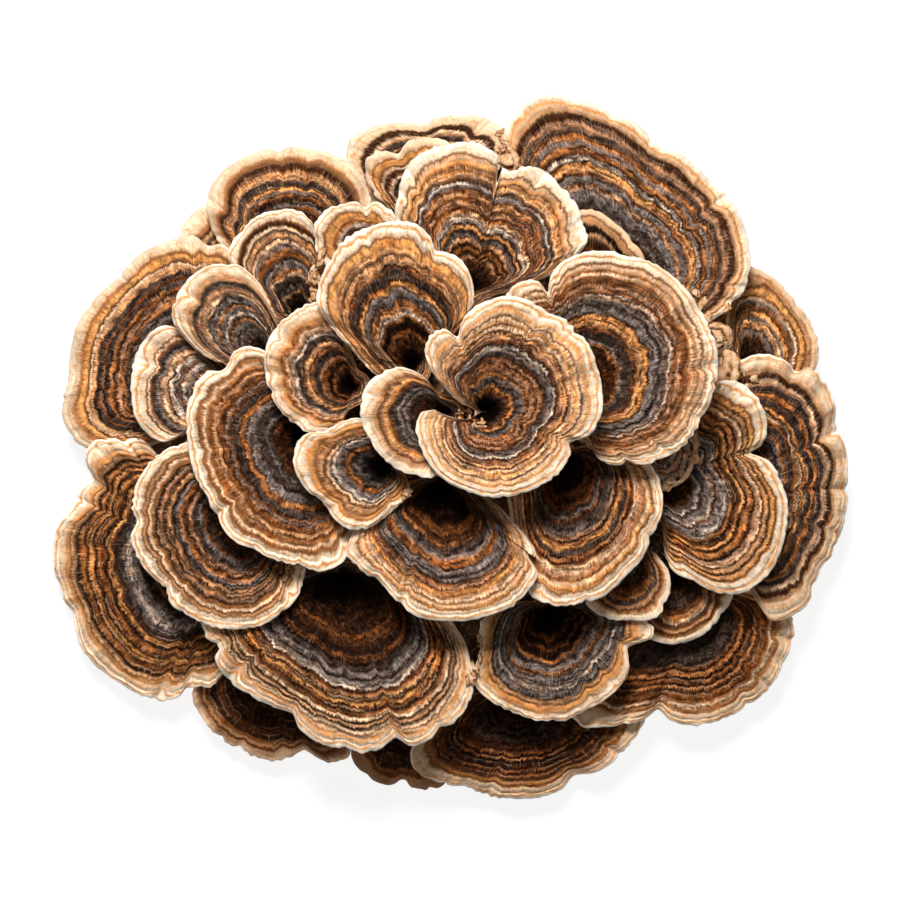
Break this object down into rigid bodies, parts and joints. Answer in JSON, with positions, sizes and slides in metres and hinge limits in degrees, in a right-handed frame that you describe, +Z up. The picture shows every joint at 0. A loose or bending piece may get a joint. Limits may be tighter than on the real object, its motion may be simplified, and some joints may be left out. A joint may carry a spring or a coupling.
{
  "type": "turkey tail fungus",
  "caption": "Rosette of thin, wavy, fan-shaped bracket caps overlapping like petals on a low mound of common flesh, cut off flat underneath.",
  "frame": {"origin": "middle of the rosette seen from above, on the flat cut face that it rests on", "axes": "+Z up, out of the centre cap; +X along the longer side of the rosette; +Y towards the top of the picture"},
  "size_m": [0.2, 0.1774, 0.058],
  "materials": {
    "base_flesh": "matt, fibrous and dry",
    "tan_cap": "velvety, banded tan and cream",
    "amber_cap": "velvety, banded amber and brown, cream edge",
    "brown_cap": "velvety, banded dark brown and grey, pale edge",
    "grey_cap": "velvety, banded blue-grey and tan, cream edge"
  },
  "bodies": {
    "root": {"base": "base_flesh", "centre_cap": "grey_cap", "inner_cap_1": "brown_cap", "inner_cap_2": "amber_cap", "inner_cap_3": "grey_cap", "inner_cap_4": "amber_cap", "inner_cap_5": "amber_cap", "inner_cap_6": "brown_cap", "inner_cap_7": "tan_cap", "inner_cap_8": "brown_cap", "middle_cap_1": "amber_cap", "middle_cap_2": "brown_cap", "middle_cap_3": "brown_cap", "middle_cap_4": "brown_cap", "middle_cap_5": "amber_cap", "middle_cap_6": "brown_cap", "middle_cap_7": "amber_cap", "middle_cap_8": "grey_cap", "middle_cap_9": "brown_cap", "middle_cap_10": "brown_cap", "middle_cap_11": "tan_cap", "middle_cap_12": "amber_cap", "outer_cap_1": "amber_cap", "outer_cap_2": "tan_cap", "outer_cap_3": "amber_cap", "outer_cap_4": "amber_cap", "outer_cap_5": "brown_cap", "outer_cap_6": "brown_cap", "outer_cap_7": "brown_cap", "outer_cap_8": "amber_cap", "outer_cap_9": "tan_cap", "outer_cap_10": "tan_cap", "outer_cap_11": "tan_cap", "outer_cap_12": "tan_cap", "small_cap_1": "tan_cap", "small_cap_2": "tan_cap", "small_cap_3": "brown_cap", "small_cap_4": "tan_cap"}
  },
  "joints": []
}
